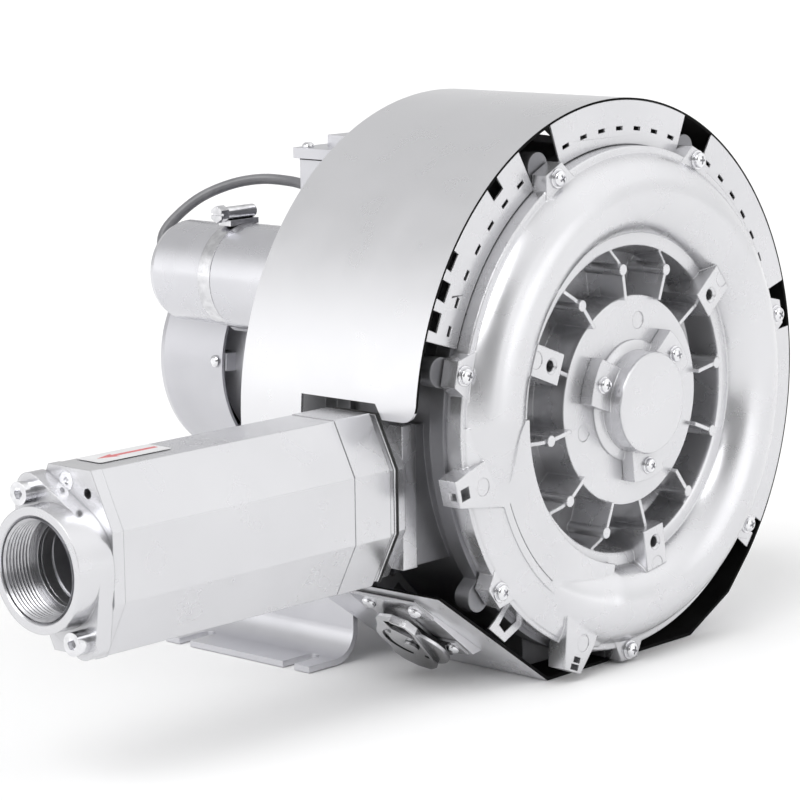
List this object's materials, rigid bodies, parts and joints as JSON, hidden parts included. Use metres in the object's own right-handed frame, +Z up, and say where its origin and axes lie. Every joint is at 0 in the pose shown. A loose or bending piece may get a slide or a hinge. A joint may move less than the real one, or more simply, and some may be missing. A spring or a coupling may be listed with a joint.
{
  "type": "two-stage side-channel blower",
  "caption": "Two-stage side-channel blower with finned motor, air-guide hood, outlet silencer with threaded port, capacitor and bent foot; its rotor spins and a latch on the hood turns.",
  "frame": {"origin": "on the shaft axis, in the plane of the front cover's hub, in the middle of the three threaded pads", "axes": "the shaft runs along Y with the front cover towards -Y and the motor towards +Y, the outlet points to -X, Z is up"},
  "size_m": [0.668, 0.3696, 0.3545],
  "materials": {
    "cast_cover": "silver paint on aluminium casting, satin",
    "cast_casing": "silver paint on aluminium casting",
    "cast_silencer": "silver paint on aluminium casting, satin",
    "cast_impeller": "bare aluminium casting",
    "hood_sheet": "silver paint on sheet steel, smooth",
    "zinc_steel": "zinc-plated steel",
    "bearing_steel": "ground bearing steel",
    "shaft_steel": "turned steel",
    "sheet_steel": "silver paint on sheet steel",
    "latch_steel": "bright plated steel",
    "core_steel": "stacked sheet steel",
    "winding_copper": "enamelled copper wire",
    "motor_casting": "silver paint on aluminium",
    "cowl_sheet": "silver paint on sheet steel",
    "box_paint": "silver paint on aluminium casting",
    "can": "smooth aluminium can",
    "black_rubber": "black rubber",
    "felt": "sound-absorbing felt",
    "black_plastic": "black moulded plastic",
    "grey_jacket": "grey cable jacket"
  },
  "bodies": {
    "blower": {"front_cover": "cast_cover", "cover_screws": "zinc_steel", "bearing_cap": "cast_cover", "bearing_cap_screws": "zinc_steel", "front_bearing": "bearing_steel", "centre_casing": "cast_casing", "rear_casing": "cast_casing", "casing_screws": "zinc_steel", "shaft_seal": "black_rubber", "hood": "hood_sheet", "outlet_manifold": "cast_casing", "silencer_gasket": "black_rubber", "silencer_adaptor": "cast_silencer", "silencer_body": "cast_silencer", "silencer_liner": "felt", "silencer_tube": "sheet_steel", "silencer_end_plate": "cast_silencer", "end_plate_screw": "zinc_steel", "outlet_port_flange": "cast_silencer", "outlet_flange_screws": "zinc_steel", "inlet_manifold": "cast_casing", "inlet_port_flange": "cast_silencer", "inlet_flange_screws": "zinc_steel", "motor_front_shield": "motor_casting", "motor_housing": "motor_casting", "motor_rear_shield": "motor_casting", "motor_tie_rods": "zinc_steel", "stator_core": "core_steel", "stator_windings": "winding_copper", "drive_end_bearing": "bearing_steel", "fan_end_bearing": "bearing_steel", "fan_cowl": "cowl_sheet", "cowl_screws": "zinc_steel", "terminal_box": "box_paint", "terminal_box_lid": "box_paint", "lid_gasket": "black_rubber", "lid_screws": "zinc_steel", "terminal_block": "black_plastic", "cable_gland": "black_plastic", "lead_gland": "black_plastic", "capacitor": "can", "capacitor_cap": "can", "capacitor_cradle": "sheet_steel", "clamp_band": "latch_steel", "clamp_screw": "latch_steel", "capacitor_lead": "grey_jacket", "foot_bracket": "sheet_steel", "foot_screws": "zinc_steel", "latch_base": "latch_steel", "latch_pivot": "latch_steel", "latch_screws": "zinc_steel"},
    "rotor": {"shaft": "shaft_steel", "shaft_keys": "shaft_steel", "front_impeller": "cast_impeller", "rear_impeller": "cast_impeller", "impeller_spacer": "shaft_steel", "lock_nut": "shaft_steel", "rotor_core": "core_steel", "cooling_fan": "black_plastic"},
    "latch": {"latch_plate": "latch_steel"}
  },
  "joints": [
    {"name": "rotor_spin", "type": "hinge", "parent": "blower", "child": "rotor", "pos_m": [0, 0.15, 0], "axis": [0, 1, 0], "continuous": true},
    {"name": "latch_turn", "type": "hinge", "parent": "blower", "child": "latch", "pos_m": [-0.12134, 0.072, -0.13703], "axis": [0.6242, 0, 0.7813], "range_deg": [0, 85]}
  ]
}
